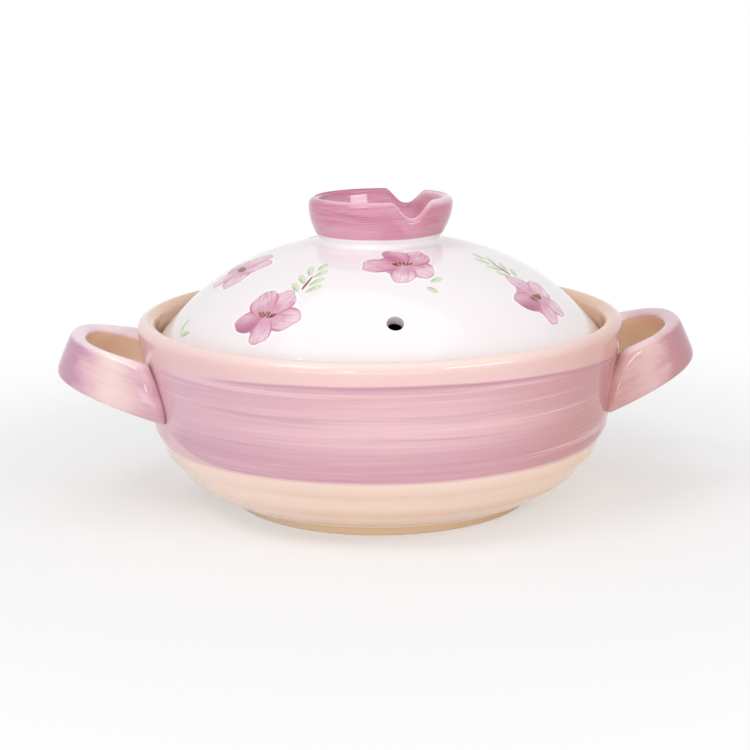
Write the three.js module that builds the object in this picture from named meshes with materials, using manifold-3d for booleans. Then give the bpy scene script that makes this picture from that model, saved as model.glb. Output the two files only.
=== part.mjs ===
import * as THREE from "three";
import { mergeVertices } from "three/addons/utils/BufferGeometryUtils.js";
import Module from "manifold-3d";

// A lidded clay pot in millimetres: +Z up, handles on the X axis, standing on Z = 0.

// Bowl sizes
const FOOT_RADIUS = 73.8;
const FOOT_HEIGHT = 3.5;
const FOOT_RING_WIDTH = 8;
const FOOT_RECESS = 2.6;
const FOOT_EDGE = 1;
const WAIST_STEP = 0.5;
const SHOULDER_RADIUS = 115;
const SHOULDER_HEIGHT = 50;
const BELLY_LEAVE = new THREE.Vector2(32.2, 10.4);
const BELLY_ARRIVE = new THREE.Vector2(1.5, 11.9);
const RIDGE_COUNT = 4;
const RIDGE_DEPTH = 0.4;
const MOUTH_RADIUS = 120;
const LIP_RADIUS = 4.65;
const LIP_HEIGHT = 87.8;
const LIP_TUCK = 0.5;
const FLOOR_THICKNESS = 8.5;
const INNER_WALL_RADIUS = 103;
const INNER_SHOULDER_HEIGHT = 46;
const INNER_FLOOR_RADIUS = 52;

// Lid step sizes
const SEAT_HEIGHT = 76;
const SEAT_FILLET = 1.5;
const SEAT_EDGE_RADIUS = 2;

// Lid sizes
const LID_TOP = 130.5;
const LID_RISE = 48.2;
const LID_LEAVE = 52.8;
const LID_ARRIVE = new THREE.Vector2(25.9, 32.7);
const LID_WALL = 6.5;
const LID_EDGE_ROUND = 1.8;
const VENT_RADIUS = 4.25;
const VENT_DISTANCE = 88.5;

// Knob sizes
const KNOB_BASE_RADIUS = 29.6;
const KNOB_RADIUS = 35.5;
const KNOB_HEIGHT = 20.5;
const KNOB_LIP_RADIUS = 2.75;
const KNOB_BELLY_RADIUS = 35;
const KNOB_BELLY_RISE = 6.5;
const KNOB_FOOT_WALL = 5.4;
const KNOB_FLARE = 1.6;
const DIP_DEPTH = 7.4;
const DIP_HALF_WIDTH = 12.3;
const DIP_OFFSET = 14.3;
const DIP_TURN = THREE.MathUtils.degToRad(-3);
const DIP_STARTS = 0.15;
const DIP_FULL = 0.75;

// Handle sizes, each along the handle's own axis away from the bowl's centre
const STRAP_THICKNESS = 8.4;
const STRAP_ROOT_SWELL = 3.4;
const STRAP_START = 100;
const STRAP_TOP_REACH = 151.5;
const STRAP_BOTTOM_REACH = 160.3;
const STRAP_TOP_HALF_WIDTH = 40;
const STRAP_BOTTOM_HALF_WIDTH = 46;
const STRAP_TOP_AT_ROOT = 73;
const STRAP_TOP_AT_END = 86.5;
const STRAP_BOTTOM_AT_ROOT = 45;
const STRAP_BOTTOM_AT_END = 66;
const STRAP_SQUARENESS = 2.5;

// Fits
const LID_CLEARANCE = 1.2;
const SEATING_GAP = 0.3;
const WELD_TOLERANCE = 1e-4;
const SEARCH_TOLERANCE = 1e-9;

// Glazes
const BODY_COLOR = 0xe6bcbe;
const HANDLE_COLOR = 0xdba9ad;
const LID_COLOR = 0xfaf5f3;
const KNOB_COLOR = 0xdd8ca4;
const GLAZE_ROUGHNESS = 0.15;

// Mesh fineness
const TURN_STEPS = 60;
const BELLY_STEPS = 16;
const INNER_WALL_STEPS = 7;
const LIP_STEPS = 6;
const ROUND_STEPS = 2;
const DOME_STEPS = 12;
const KNOB_STEPS = 6;
const VENT_STEPS = 24;
const STRAP_STATIONS = 30;
const STRAP_EDGE_STEPS = 5;
const STRAP_NUDGE = 1e-3;

const wasm = await Module();
wasm.setup();

const point = (radius, height) => new THREE.Vector2(radius, height);

// Curves and outlines
function curvePoints(curve, steps) {
  return Array.from({ length: steps + 1 }, (_, i) => curve.getPoint(i / steps));
}

function arcPoints(centre, radius, fromDegrees, toDegrees, steps) {
  const [from, to] = [fromDegrees, toDegrees].map(THREE.MathUtils.degToRad);
  const clockwise = to < from;
  const arc = new THREE.EllipseCurve(centre.x, centre.y, radius, radius, from, to, clockwise);
  return curvePoints(arc, steps);
}

function normalAt(curve, t) {
  const along = curve.getTangent(t);
  return point(along.y, -along.x);
}

function heightAtRadius(curve, radius) {
  let low = 0;
  let high = 1;
  while (high - low > SEARCH_TOLERANCE) {
    const middle = (low + high) / 2;
    if (curve.getPoint(middle).x < radius) low = middle;
    else high = middle;
  }
  return { t: low, height: curve.getPoint(low).y };
}

// Solids
function lathe(outline) {
  return new THREE.LatheGeometry(outline, TURN_STEPS).rotateX(Math.PI / 2);
}

function toSolid(geometry) {
  const bare = new THREE.BufferGeometry();
  bare.setAttribute("position", geometry.getAttribute("position").clone());
  if (geometry.index) bare.setIndex(geometry.index.clone());
  const merged = mergeVertices(bare, WELD_TOLERANCE);
  return new wasm.Manifold(
    new wasm.Mesh({
      numProp: 3,
      vertProperties: new Float32Array(merged.getAttribute("position").array),
      triVerts: new Uint32Array(merged.index.array),
    }),
  );
}

function toGeometry(solid) {
  const mesh = solid.getMesh();
  const geometry = new THREE.BufferGeometry();
  geometry.setAttribute("position", new THREE.BufferAttribute(mesh.vertProperties, 3));
  geometry.setIndex(new THREE.BufferAttribute(mesh.triVerts, 1));
  geometry.computeVertexNormals();
  return geometry;
}

function glazedPiece(name, geometry, color) {
  const look = { color, roughness: GLAZE_ROUGHNESS, metalness: 0 };
  const mesh = new THREE.Mesh(geometry, new THREE.MeshStandardMaterial(look));
  mesh.name = name;
  return mesh;
}

// Bowl: the outside from the foot up to the lip, with soft turning ridges on the belly
const waist = point(FOOT_RADIUS + WAIST_STEP, FOOT_HEIGHT);
const shoulder = point(SHOULDER_RADIUS, SHOULDER_HEIGHT);
const belly = new THREE.CubicBezierCurve(
  waist,
  waist.clone().add(BELLY_LEAVE),
  shoulder.clone().sub(BELLY_ARRIVE),
  shoulder,
);
const lipCentre = point(MOUTH_RADIUS - LIP_RADIUS, LIP_HEIGHT);
const underLip = point(MOUTH_RADIUS - LIP_TUCK, LIP_HEIGHT - LIP_RADIUS);

function ridgedBelly(steps) {
  return Array.from({ length: steps + 1 }, (_, i) => {
    const t = i / steps;
    const fade = Math.sin(Math.PI * t);
    const ridge = RIDGE_DEPTH * fade * Math.sin(2 * Math.PI * RIDGE_COUNT * t);
    return belly.getPoint(t).addScaledVector(normalAt(belly, t), ridge);
  });
}

const footToLip = [
  point(FOOT_RADIUS - FOOT_EDGE, 0),
  point(FOOT_RADIUS, FOOT_EDGE),
  ...ridgedBelly(BELLY_STEPS),
  underLip,
];

// Bowl: the inside from the lip down to the lid step, the wall and the floor
const galleryRadius = MOUTH_RADIUS - 2 * LIP_RADIUS;
const floorHeight = FOOT_RECESS + FLOOR_THICKNESS;
const wallTop = point(INNER_WALL_RADIUS, SEAT_HEIGHT - SEAT_EDGE_RADIUS);
const innerWall = new THREE.CubicBezierCurve(
  point(INNER_WALL_RADIUS, INNER_SHOULDER_HEIGHT),
  point(INNER_WALL_RADIUS, (INNER_SHOULDER_HEIGHT + floorHeight) / 2),
  point((INNER_WALL_RADIUS + INNER_FLOOR_RADIUS) / 2, floorHeight),
  point(INNER_FLOOR_RADIUS, floorHeight),
);
const seatCorner = point(galleryRadius - SEAT_FILLET, SEAT_HEIGHT + SEAT_FILLET);
const seatEdge = point(INNER_WALL_RADIUS + SEAT_EDGE_RADIUS, wallTop.y);

const bowlOutline = [
  point(0, FOOT_RECESS),
  point(FOOT_RADIUS - FOOT_RING_WIDTH - FOOT_EDGE, FOOT_RECESS),
  point(FOOT_RADIUS - FOOT_RING_WIDTH, 0),
  ...footToLip,
  ...arcPoints(lipCentre, LIP_RADIUS, 0, 180, LIP_STEPS),
  ...arcPoints(seatCorner, SEAT_FILLET, 0, -90, ROUND_STEPS),
  ...arcPoints(seatEdge, SEAT_EDGE_RADIUS, 90, 180, ROUND_STEPS),
  ...curvePoints(innerWall, INNER_WALL_STEPS),
  point(0, floorHeight),
];

// Lid: a dome of even wall with a rounded edge that stands on the step
const lidEdgeRadius = galleryRadius - LID_CLEARANCE;
const lidBottom = SEAT_HEIGHT + SEATING_GAP;
const lidEdge = point(lidEdgeRadius, LID_TOP - LID_RISE);
const dome = new THREE.CubicBezierCurve(
  point(0, LID_TOP),
  point(LID_LEAVE, LID_TOP),
  point(lidEdge.x - LID_ARRIVE.x, lidEdge.y + LID_ARRIVE.y),
  lidEdge,
);

const underDome = (t) => dome.getPoint(t).addScaledVector(normalAt(dome, t), LID_WALL);
const rimUnder = underDome(1);
const edgeCentre = point(lidEdgeRadius - LID_EDGE_ROUND, lidBottom + LID_EDGE_ROUND);
const lidOutline = [
  point(0, LID_TOP - LID_WALL),
  ...Array.from({ length: DOME_STEPS }, (_, i) => underDome((i + 1) / DOME_STEPS)),
  point(rimUnder.x, lidBottom),
  ...arcPoints(edgeCentre, LID_EDGE_ROUND, -90, 0, ROUND_STEPS),
  ...curvePoints(dome, DOME_STEPS).reverse(),
];

function ventCutter() {
  const { t, height } = heightAtRadius(dome, VENT_DISTANCE);
  const outward = normalAt(dome, t).negate();
  const axis = new THREE.Vector3(0, -outward.x, outward.y);
  const drill = new THREE.CylinderGeometry(VENT_RADIUS, VENT_RADIUS, 4 * LID_WALL, VENT_STEPS);
  drill.applyQuaternion(
    new THREE.Quaternion().setFromUnitVectors(new THREE.Vector3(0, 1, 0), axis),
  );
  return drill.translate(0, -VENT_DISTANCE, height);
}

// Knob: a flared ring on the dome, its rim lowered along one line across it
const knobTop = LID_TOP + KNOB_HEIGHT;
const knobFlareRadius = KNOB_BASE_RADIUS + KNOB_FLARE;
const knobBase = heightAtRadius(dome, knobFlareRadius).height + SEATING_GAP;
const knobInnerFoot = KNOB_BASE_RADIUS - KNOB_FOOT_WALL;
const knobFloor = heightAtRadius(dome, knobInnerFoot).height + SEATING_GAP;
const knobLip = point(KNOB_RADIUS - KNOB_LIP_RADIUS, knobTop - KNOB_LIP_RADIUS);
const knobOutside = new THREE.QuadraticBezierCurve(
  point(KNOB_BASE_RADIUS, knobBase + KNOB_FLARE),
  point(KNOB_BELLY_RADIUS, LID_TOP + KNOB_BELLY_RISE),
  point(KNOB_RADIUS, knobLip.y),
);
const knobOutline = [
  point(knobFlareRadius, knobBase),
  ...curvePoints(knobOutside, KNOB_STEPS),
  ...arcPoints(knobLip, KNOB_LIP_RADIUS, 0, 180, LIP_STEPS).slice(1),
  point(knobInnerFoot, knobFloor),
];
knobOutline.push(knobOutline[0].clone());

function dipAt(x, y) {
  const across = x * Math.cos(DIP_TURN) + y * Math.sin(DIP_TURN) - DIP_OFFSET;
  const share = Math.min(Math.abs(across) / DIP_HALF_WIDTH, 1);
  return (DIP_DEPTH * (1 + Math.cos(Math.PI * share))) / 2;
}

function dippedKnob() {
  const geometry = lathe(knobOutline);
  const places = geometry.getAttribute("position");
  for (let i = 0; i < places.count; i++) {
    const rise = (places.getZ(i) - knobBase) / (knobTop - knobBase);
    const share = THREE.MathUtils.smoothstep(rise, DIP_STARTS, DIP_FULL);
    const lowered = places.getZ(i) - share * dipAt(places.getX(i), places.getY(i));
    places.setZ(i, lowered);
  }
  return geometry;
}

// Handles: a strap on edge, bent into a loop, its lower edge further out than its upper edge
function loopPoint(reach, halfWidth, angle) {
  const power = 2 / STRAP_SQUARENESS;
  const out = Math.abs(Math.cos(angle)) ** power;
  const side = Math.sign(Math.sin(angle)) * Math.abs(Math.sin(angle)) ** power;
  return { out, x: STRAP_START + (reach - STRAP_START) * out, y: halfWidth * side };
}

function strapSpine(angle) {
  const half = STRAP_THICKNESS / 2;
  const high = loopPoint(STRAP_TOP_REACH - half, STRAP_TOP_HALF_WIDTH - half, angle);
  const low = loopPoint(STRAP_BOTTOM_REACH - half, STRAP_BOTTOM_HALF_WIDTH - half, angle);
  const topZ = THREE.MathUtils.lerp(STRAP_TOP_AT_ROOT, STRAP_TOP_AT_END, high.out);
  const bottomZ = THREE.MathUtils.lerp(STRAP_BOTTOM_AT_ROOT, STRAP_BOTTOM_AT_END, low.out);
  return {
    out: low.out,
    top: new THREE.Vector3(high.x, high.y, topZ),
    bottom: new THREE.Vector3(low.x, low.y, bottomZ),
  };
}

function strapRing(angle) {
  const { out, top, bottom } = strapSpine(angle);
  const before = strapSpine(angle - STRAP_NUDGE);
  const after = strapSpine(angle + STRAP_NUDGE);
  const run = after.top.add(after.bottom).sub(before.top).sub(before.bottom).setZ(0);
  const up = top.clone().sub(bottom).normalize();
  const across = run.cross(up).normalize();
  const half = STRAP_THICKNESS / 2 + STRAP_ROOT_SWELL * (1 - out) ** 2;
  const edgeArc = (end, centreUp, start) =>
    Array.from({ length: STRAP_EDGE_STEPS }, (_, i) => {
      const turn = start + (Math.PI * i) / (STRAP_EDGE_STEPS - 1);
      const centre = end.clone().addScaledVector(up, centreUp);
      const rise = (STRAP_THICKNESS / 2) * Math.sin(turn);
      return centre.addScaledVector(across, half * Math.cos(turn)).addScaledVector(up, rise);
    });
  const inset = STRAP_THICKNESS / 2;
  return [...edgeArc(top, -inset, 0), ...edgeArc(bottom, inset, Math.PI)];
}

function loft(rings) {
  const size = rings[0].length;
  const places = rings.flat();
  const faces = [];
  for (let r = 0; r + 1 < rings.length; r++) {
    for (let i = 0; i < size; i++) {
      const [a, b] = [r * size + i, r * size + ((i + 1) % size)];
      faces.push(a, a + size, b, b, a + size, b + size);
    }
  }
  const last = (rings.length - 1) * size;
  for (let i = 1; i + 1 < size; i++) {
    faces.push(0, i, i + 1, last, last + i + 1, last + i);
  }
  const geometry = new THREE.BufferGeometry().setFromPoints(places);
  geometry.setIndex(faces);
  return geometry;
}

function bowlEnvelope() {
  const swelled = footToLip.map((p) => point(p.x + SEATING_GAP, p.y));
  const top = point(MOUTH_RADIUS + SEATING_GAP, LIP_HEIGHT);
  return toSolid(lathe([point(0, 0), ...swelled, top, point(0, LIP_HEIGHT)]));
}

function handleGeometry() {
  const rings = Array.from({ length: STRAP_STATIONS + 1 }, (_, i) =>
    strapRing(Math.PI * (i / STRAP_STATIONS - 0.5)),
  );
  return toGeometry(toSolid(loft(rings)).subtract(bowlEnvelope()));
}

// Assembly
const pot = new THREE.Group();
pot.name = "clay_pot";

const lid = new THREE.Group();
lid.name = "lid";
const ventedDome = toSolid(lathe(lidOutline)).subtract(toSolid(ventCutter()));
lid.add(glazedPiece("lid_dome", toGeometry(ventedDome), LID_COLOR));
lid.add(glazedPiece("lid_knob", dippedKnob(), KNOB_COLOR));

const handle = handleGeometry();
const rightHandle = glazedPiece("right_handle", handle, HANDLE_COLOR);
const leftHandle = glazedPiece("left_handle", handle.clone(), HANDLE_COLOR);
leftHandle.rotation.z = Math.PI;

pot.add(glazedPiece("pot_body", lathe(bowlOutline), BODY_COLOR));
pot.add(rightHandle, leftHandle, lid);

export default pot;
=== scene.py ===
# %% [markdown]
# A lidded clay pot with painted blossoms
#
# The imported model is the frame: five solids of fired clay, facetted and plain. This lesson turns
# each of them into a fine, glazed surface of the same size in the same place. The pot stands on
# Z = 0, its handles lie on the X axis and its steam hole faces -Y.

# %% Load the frame
import bisect
import math
import random

import bmesh
import bpy
from mathutils import Matrix, Vector
from mathutils.geometry import interpolate_bezier


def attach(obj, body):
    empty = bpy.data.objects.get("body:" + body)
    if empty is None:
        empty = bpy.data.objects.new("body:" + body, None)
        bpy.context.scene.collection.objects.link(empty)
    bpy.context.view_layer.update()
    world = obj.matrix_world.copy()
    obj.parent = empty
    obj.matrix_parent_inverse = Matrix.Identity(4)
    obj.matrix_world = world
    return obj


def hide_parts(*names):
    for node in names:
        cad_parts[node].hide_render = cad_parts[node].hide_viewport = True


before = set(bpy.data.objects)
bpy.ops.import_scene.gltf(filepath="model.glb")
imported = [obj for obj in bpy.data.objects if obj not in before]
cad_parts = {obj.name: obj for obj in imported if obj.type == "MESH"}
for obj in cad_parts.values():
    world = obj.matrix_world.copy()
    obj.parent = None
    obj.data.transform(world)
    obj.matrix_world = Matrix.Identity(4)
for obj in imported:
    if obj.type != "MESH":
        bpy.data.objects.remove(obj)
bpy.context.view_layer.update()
MM = 0.001

# %% [markdown]
# The camera
#
# The viewing angle comes first, because every later choice is judged through it. The eye is low,
# about twelve degrees above the table, slightly left of the steam hole, and close enough that the
# near lip reads larger than the far one. A long lens from there gives the same ellipses as the
# photograph. The small roll tips the right side up, as the pot leans in the picture.

# %% Camera
CAMERA_PLACE = Vector((-69.1, -878.2, 264.5)) * MM
CAMERA_AIM = Vector((-2.75, 0.2, 60.1)) * MM
CAMERA_ROLL = math.radians(-0.6)
CAMERA_LENS = 86.5
SENSOR_WIDTH = 36

lens = bpy.data.cameras.new("photo_camera")
lens.lens = CAMERA_LENS
lens.sensor_width = SENSOR_WIDTH
camera = bpy.data.objects.new("photo_camera", lens)
facing = (CAMERA_AIM - CAMERA_PLACE).to_track_quat("-Z", "Y").to_matrix().to_4x4()
camera.matrix_world = (
    Matrix.Translation(CAMERA_PLACE) @ facing @ Matrix.Rotation(CAMERA_ROLL, 4, "Z")
)
bpy.context.scene.collection.objects.link(camera)
bpy.context.scene.camera = camera
bpy.context.scene.view_settings.view_transform = "Standard"
print("camera distance:", round((CAMERA_AIM - CAMERA_PLACE).length, 3), "m")

# %% [markdown]
# Outlines and turning
#
# Bowl, lid and knob are turned shapes, so each starts as an outline in the XZ plane and is spun
# about Z. A spin makes quads in even rings, which smooth shading likes. Bézier stretches carry the
# long curves and arcs carry the rounded edges, so an outline has only the points its shape needs.

# %% Outline helpers
WELD = 1e-6
SHARP_ANGLE = math.radians(50)


def at(radius, height):
    """A point of a turned outline, given in millimetres."""
    return Vector((radius, 0, height)) * MM


def arc(centre, radius, start, end, steps):
    """A round stretch of an outline; the radius is in millimetres, the angles in degrees."""
    turns = [math.radians(start + (end - start) * i / steps) for i in range(steps + 1)]
    return [centre + Vector((math.cos(t), 0, math.sin(t))) * radius * MM for t in turns]


def side_of(points, i):
    """The unit vector to the right of an outline at one of its points."""
    along = points[min(i + 1, len(points) - 1)] - points[max(i - 1, 0)]
    return Vector((along.z, 0, -along.x)).normalized()


def spun(outside, inside, steps):
    """Spins an outline about Z. The inside's points are marked in an attribute for the glaze."""
    bm = bmesh.new()
    layer = bm.verts.layers.float.new("inside")
    points = [bm.verts.new(p) for p in outside + inside]
    for vert in points[len(outside):]:
        vert[layer] = 1
    edges = [bm.edges.new(pair) for pair in zip(points, points[1:])]
    bmesh.ops.spin(
        bm, geom=points + edges, cent=(0, 0, 0), axis=(0, 0, 1), angle=math.tau, steps=steps,
        use_merge=True,
    )
    bmesh.ops.remove_doubles(bm, verts=bm.verts, dist=WELD)
    bmesh.ops.recalc_face_normals(bm, faces=bm.faces)
    return bm


def add_piece(name, bm, body, slot, *nodes):
    """Makes a smooth object of a bmesh, rides it on a body and lets it stand for CAD nodes."""
    mesh = bpy.data.meshes.new(name)
    for face in bm.faces:
        face.smooth = True
    bm.to_mesh(mesh)
    bm.free()
    mesh.set_sharp_from_angle(angle=SHARP_ANGLE)
    piece = bpy.data.objects.new(name, mesh)
    bpy.context.scene.collection.objects.link(piece)
    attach(piece, body)
    if nodes:
        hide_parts(*nodes)
    print(name, len(mesh.vertices), "vertices", [round(d, 4) for d in piece.dimensions])
    return piece


# %% [markdown]
# The bowl
#
# The bowl is turned on a wheel: a bare foot ring, a round belly with the soft ridges that fingers
# leave, a steep wall and a thick rolled lip. Inside the lip a step carries the lid. The ridges are
# part of the outline, pushed along its own normal, so they catch light as real ones do. Each point
# of the outline also says whether it belongs to the inside, for the glaze.

# %% Bowl
BOWL_STEPS = 256
FOOT_RADIUS, FOOT_HEIGHT, FOOT_INNER_RADIUS, FOOT_RECESS = 74.8, 3.5, 65.8, 2.6
FOOT_OUTER_ROUND, FOOT_INNER_ROUND, RECESS_RING = 1, 0.8, 40
WAIST, SHOULDER, UNDER_LIP = at(75.3, FOOT_HEIGHT), at(115, 50), at(119.5, 83.2)
# Pulls are the two inner handles of a Bézier stretch.
BELLY_PULLS = at(106.5, 13.9), at(113.5, 38.1)
WALL_PULLS = at(116.4, 61.2), at(118.9, 76)
RIDGE_COUNT, RIDGE_DEPTH = 4.3, 0.4
MOUTH_RADIUS, LIP_RADIUS, LIP_HEIGHT = 120, 4.65, 87.8
SEAT_HEIGHT, SEAT_CORNER, SEAT_EDGE = 76, 1.5, 2
INNER_WALL_RADIUS, INNER_BEND, INNER_PULL = 103, 46, 28.5
FLOOR_HEIGHT, FLOOR_PULL, FLOOR_RADIUS = 11.1, 77.5, 52
GALLERY_RADIUS = MOUTH_RADIUS - 2 * LIP_RADIUS


def ridged(points):
    """Pushes soft turning ridges into a stretch of outline; they fade out at both ends."""
    last = len(points) - 1
    shaped = []
    for i, p in enumerate(points):
        t = i / last
        ridge = math.sin(math.pi * t) * math.sin(math.tau * RIDGE_COUNT * t)
        shaped.append(p + side_of(points, i) * RIDGE_DEPTH * MM * ridge)
    return shaped


belly = interpolate_bezier(WAIST, *BELLY_PULLS, SHOULDER, 72)
upper_wall = interpolate_bezier(SHOULDER, *WALL_PULLS, UNDER_LIP, 16)
recess_edge = at(FOOT_INNER_RADIUS - 2 * FOOT_INNER_ROUND, FOOT_RECESS - FOOT_INNER_ROUND)
foot_inside = at(FOOT_INNER_RADIUS + FOOT_INNER_ROUND / 2, FOOT_INNER_ROUND)
foot_outside = at(FOOT_RADIUS - FOOT_OUTER_ROUND, FOOT_OUTER_ROUND)
lip_middle = at(MOUTH_RADIUS - LIP_RADIUS, LIP_HEIGHT)
bowl_outside = [
    at(0, FOOT_RECESS),
    at(RECESS_RING, FOOT_RECESS),
    *arc(recess_edge, FOOT_INNER_ROUND, 90, 0, 4),
    *arc(foot_inside, FOOT_INNER_ROUND, 210, 270, 4),
    *arc(foot_outside, FOOT_OUTER_ROUND, -90, 0, 5),
    *ridged(belly),
    *upper_wall[1:],
    *arc(lip_middle, LIP_RADIUS, -8, 88, 14),
]
bowl_inside = [
    *arc(lip_middle, LIP_RADIUS, 96, 180, 12),
    *arc(at(GALLERY_RADIUS - SEAT_CORNER, SEAT_HEIGHT + SEAT_CORNER), SEAT_CORNER, 0, -90, 5),
    *arc(at(INNER_WALL_RADIUS + SEAT_EDGE, SEAT_HEIGHT - SEAT_EDGE), SEAT_EDGE, 90, 180, 6),
    *interpolate_bezier(
        at(INNER_WALL_RADIUS, INNER_BEND), at(INNER_WALL_RADIUS, INNER_PULL),
        at(FLOOR_PULL, FLOOR_HEIGHT), at(FLOOR_RADIUS, FLOOR_HEIGHT), 32,
    ),
    at(FLOOR_RADIUS / 2, FLOOR_HEIGHT),
    at(0, FLOOR_HEIGHT),
]
bowl_mesh = spun(bowl_outside, bowl_inside, BOWL_STEPS)
bowl = add_piece("glazed_bowl", bowl_mesh, "pot", "body_glaze", "pot_body")

# %% [markdown]
# The handles
#
# Each handle is a strap of clay stood on edge and bent into a loop, its lower edge further out
# than its upper one. A tube along a curve can't lean like that, so rings are set across the strap
# one after another and bridged. A ring is a squared-off oval, rounder near the wall. Where the
# potter pressed the strap to the wall its end bulges, most at mid-height, and then turns in, which
# leaves a groove at the seam. Each point keeps its distance from the wall, its place along and
# across the strap, and which face it is on, so that the glaze can follow them. The two were set by
# hand, so they sit a hair differently.

# %% Handle shape
STRAP_STATIONS = 144
STRAP_RING_POINTS = 40
STRAP_THICKNESS, STRAP_ROOT_SWELL = 8.4, 3.4
STRAP_START = 100
STRAP_TOP_REACH, STRAP_BOTTOM_REACH = 151.5, 160.3
STRAP_TOP_HALF_WIDTH, STRAP_BOTTOM_HALF_WIDTH = 39.5, 46.5
LOOP_SQUARENESS = 2.5
RING_SQUARENESS, ROOT_SQUARENESS = 4.6, 2.6
SQUARE_FROM = 0.45


def squared(angle, squareness):
    """A point of a squared-off unit circle."""
    power = 2 / squareness
    cosine, sine = math.cos(angle), math.sin(angle)
    return (
        math.copysign(abs(cosine) ** power, cosine),
        math.copysign(abs(sine) ** power, sine),
    )


def strap_edge(reach, half_width, heights, angle):
    """One edge of the strap at an angle round the loop, and how far out it is from 0 to 1."""
    out, side = squared(angle, LOOP_SQUARENESS)
    half = STRAP_THICKNESS / 2
    height = heights[0] + (heights[1] - heights[0]) * out
    place = (STRAP_START + (reach - half - STRAP_START) * out, (half_width - half) * side, height)
    return Vector(place), out


class Strap:
    """One strap's own lengths: how far out it is set and its heights at the wall and outside."""

    def __init__(self, shift, top_heights, bottom_heights):
        self.shift, self.top_heights, self.bottom_heights = shift, top_heights, bottom_heights

    def top(self, angle):
        reach = STRAP_TOP_REACH + self.shift
        return strap_edge(reach, STRAP_TOP_HALF_WIDTH, self.top_heights, angle)

    def bottom(self, angle):
        reach = STRAP_BOTTOM_REACH + self.shift
        return strap_edge(reach, STRAP_BOTTOM_HALF_WIDTH, self.bottom_heights, angle)


RIGHT_STRAP = Strap(-1.9, (72.6, 87.3), (44.6, 68.0))
LEFT_STRAP = Strap(0.7, (72.8, 86.1), (45.5, 66.2))
print("straps reach", [STRAP_BOTTOM_REACH + s.shift for s in (LEFT_STRAP, RIGHT_STRAP)], "mm")


# %% Handle rings
ROOT_BULGE, BULGE_PEAK = 2.8, 5.0
SEAM_GROOVE, GROOVE_REACH = 2.2, 2.2
ROOT_BELLY, BELLY_REACH = 2.6, 7.0
SMALL_TURN = 1e-3
WALL_LINE = belly + upper_wall[1:]
WALL_HEIGHTS = [p.z / MM for p in WALL_LINE]


def wall_radius(height):
    """The bowl's outside radius at a height, both in millimetres."""
    i = min(max(bisect.bisect(WALL_HEIGHTS, height), 1), len(WALL_LINE) - 1)
    low, high = WALL_LINE[i - 1], WALL_LINE[i]
    return low.lerp(high, (height * MM - low.z) / (high.z - low.z)).x / MM


def pressed(gap):
    """How much the strap bulges, or turns in where negative, at a distance from the wall."""
    near = gap / BULGE_PEAK
    return ROOT_BULGE * near * math.exp(1 - near) - SEAM_GROOVE * math.exp(-gap / GROOVE_REACH)


def strap_ring(strap, angle):
    """The points of one ring across the strap: place, distance from the wall, face and edge."""
    (top, out), (bottom, _) = strap.top(angle), strap.bottom(angle)
    run = strap.bottom(angle + SMALL_TURN)[0] - strap.bottom(angle - SMALL_TURN)[0]
    run.z = 0
    up = (top - bottom).normalized()
    across = run.cross(up).normalized()
    half_thick = STRAP_THICKNESS / 2 + STRAP_ROOT_SWELL * (1 - max(out, 0)) ** 2
    half_tall = (top - bottom).length / 2
    square = ROOT_SQUARENESS + (RING_SQUARENESS - ROOT_SQUARENESS) * min(out / SQUARE_FROM, 1)
    ring = []
    for k in range(STRAP_RING_POINTS):
        face, edge = squared(-math.pi + math.tau * k / STRAP_RING_POINTS, square)
        place = (top + bottom) / 2 + across * half_thick * face + up * half_tall * edge
        gap = max(place.xy.length - wall_radius(place.z), 0)
        swell = pressed(gap)
        belly_out = ROOT_BELLY * (1 - edge * edge) * math.exp(-gap / BELLY_REACH)
        place += across * face * (swell + belly_out) + up * edge * min(swell, 0)
        ring.append((place, place.xy.length - wall_radius(place.z), face, edge))
    return ring


print("rings:", STRAP_STATIONS + 1, "of", STRAP_RING_POINTS, "points each")

# %% Handles
def ring_edges(ring):
    """The edges that join a ring's neighbouring points."""
    wanted = set(ring)
    return list({e for v in ring for e in v.link_edges if e.other_vert(v) in wanted})


def handle_mesh(strap, turn):
    """A strap's rings, bridged, closed at both ends and turned about Z."""
    bm = bmesh.new()
    layers = [bm.verts.layers.float.new(name) for name in ("along", "wall_gap", "face", "edge")]
    loops = []
    for s in range(STRAP_STATIONS + 1):
        share = s / STRAP_STATIONS
        ring = bmesh.ops.create_circle(bm, segments=STRAP_RING_POINTS, radius=1)["verts"]
        for vert, (place, *marks) in zip(ring, strap_ring(strap, math.pi * (share - 0.5))):
            vert.co = place * MM
            for layer, mark in zip(layers, (share, *marks)):
                vert[layer] = mark
        loops.append(ring)
    for near, far in zip(loops, loops[1:]):
        bmesh.ops.bridge_loops(bm, edges=ring_edges(near) + ring_edges(far))
    for end in (loops[0], loops[-1]):
        bmesh.ops.contextual_create(bm, geom=ring_edges(end))
    bmesh.ops.recalc_face_normals(bm, faces=bm.faces)
    bmesh.ops.rotate(bm, verts=bm.verts, cent=(0, 0, 0), matrix=Matrix.Rotation(turn, 3, "Z"))
    return bm


right_handle = add_piece(
    "glazed_right_handle", handle_mesh(RIGHT_STRAP, 0), "pot", "handle_glaze", "right_handle"
)
left_handle = add_piece(
    "glazed_left_handle", handle_mesh(LEFT_STRAP, math.pi), "pot", "handle_glaze", "left_handle"
)

# %% [markdown]
# The lid
#
# The lid is one turned dome of even wall. Its steam hole, as one pierced by hand in soft clay, runs
# a little flatter than square to the slope. The drill is a small spun shape, turned to the dome's
# normal, leaned to the front and taken away by a Boolean. It flares where it meets the outside,
# which leaves the soft rounded edge that glaze gives a hole.

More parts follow.
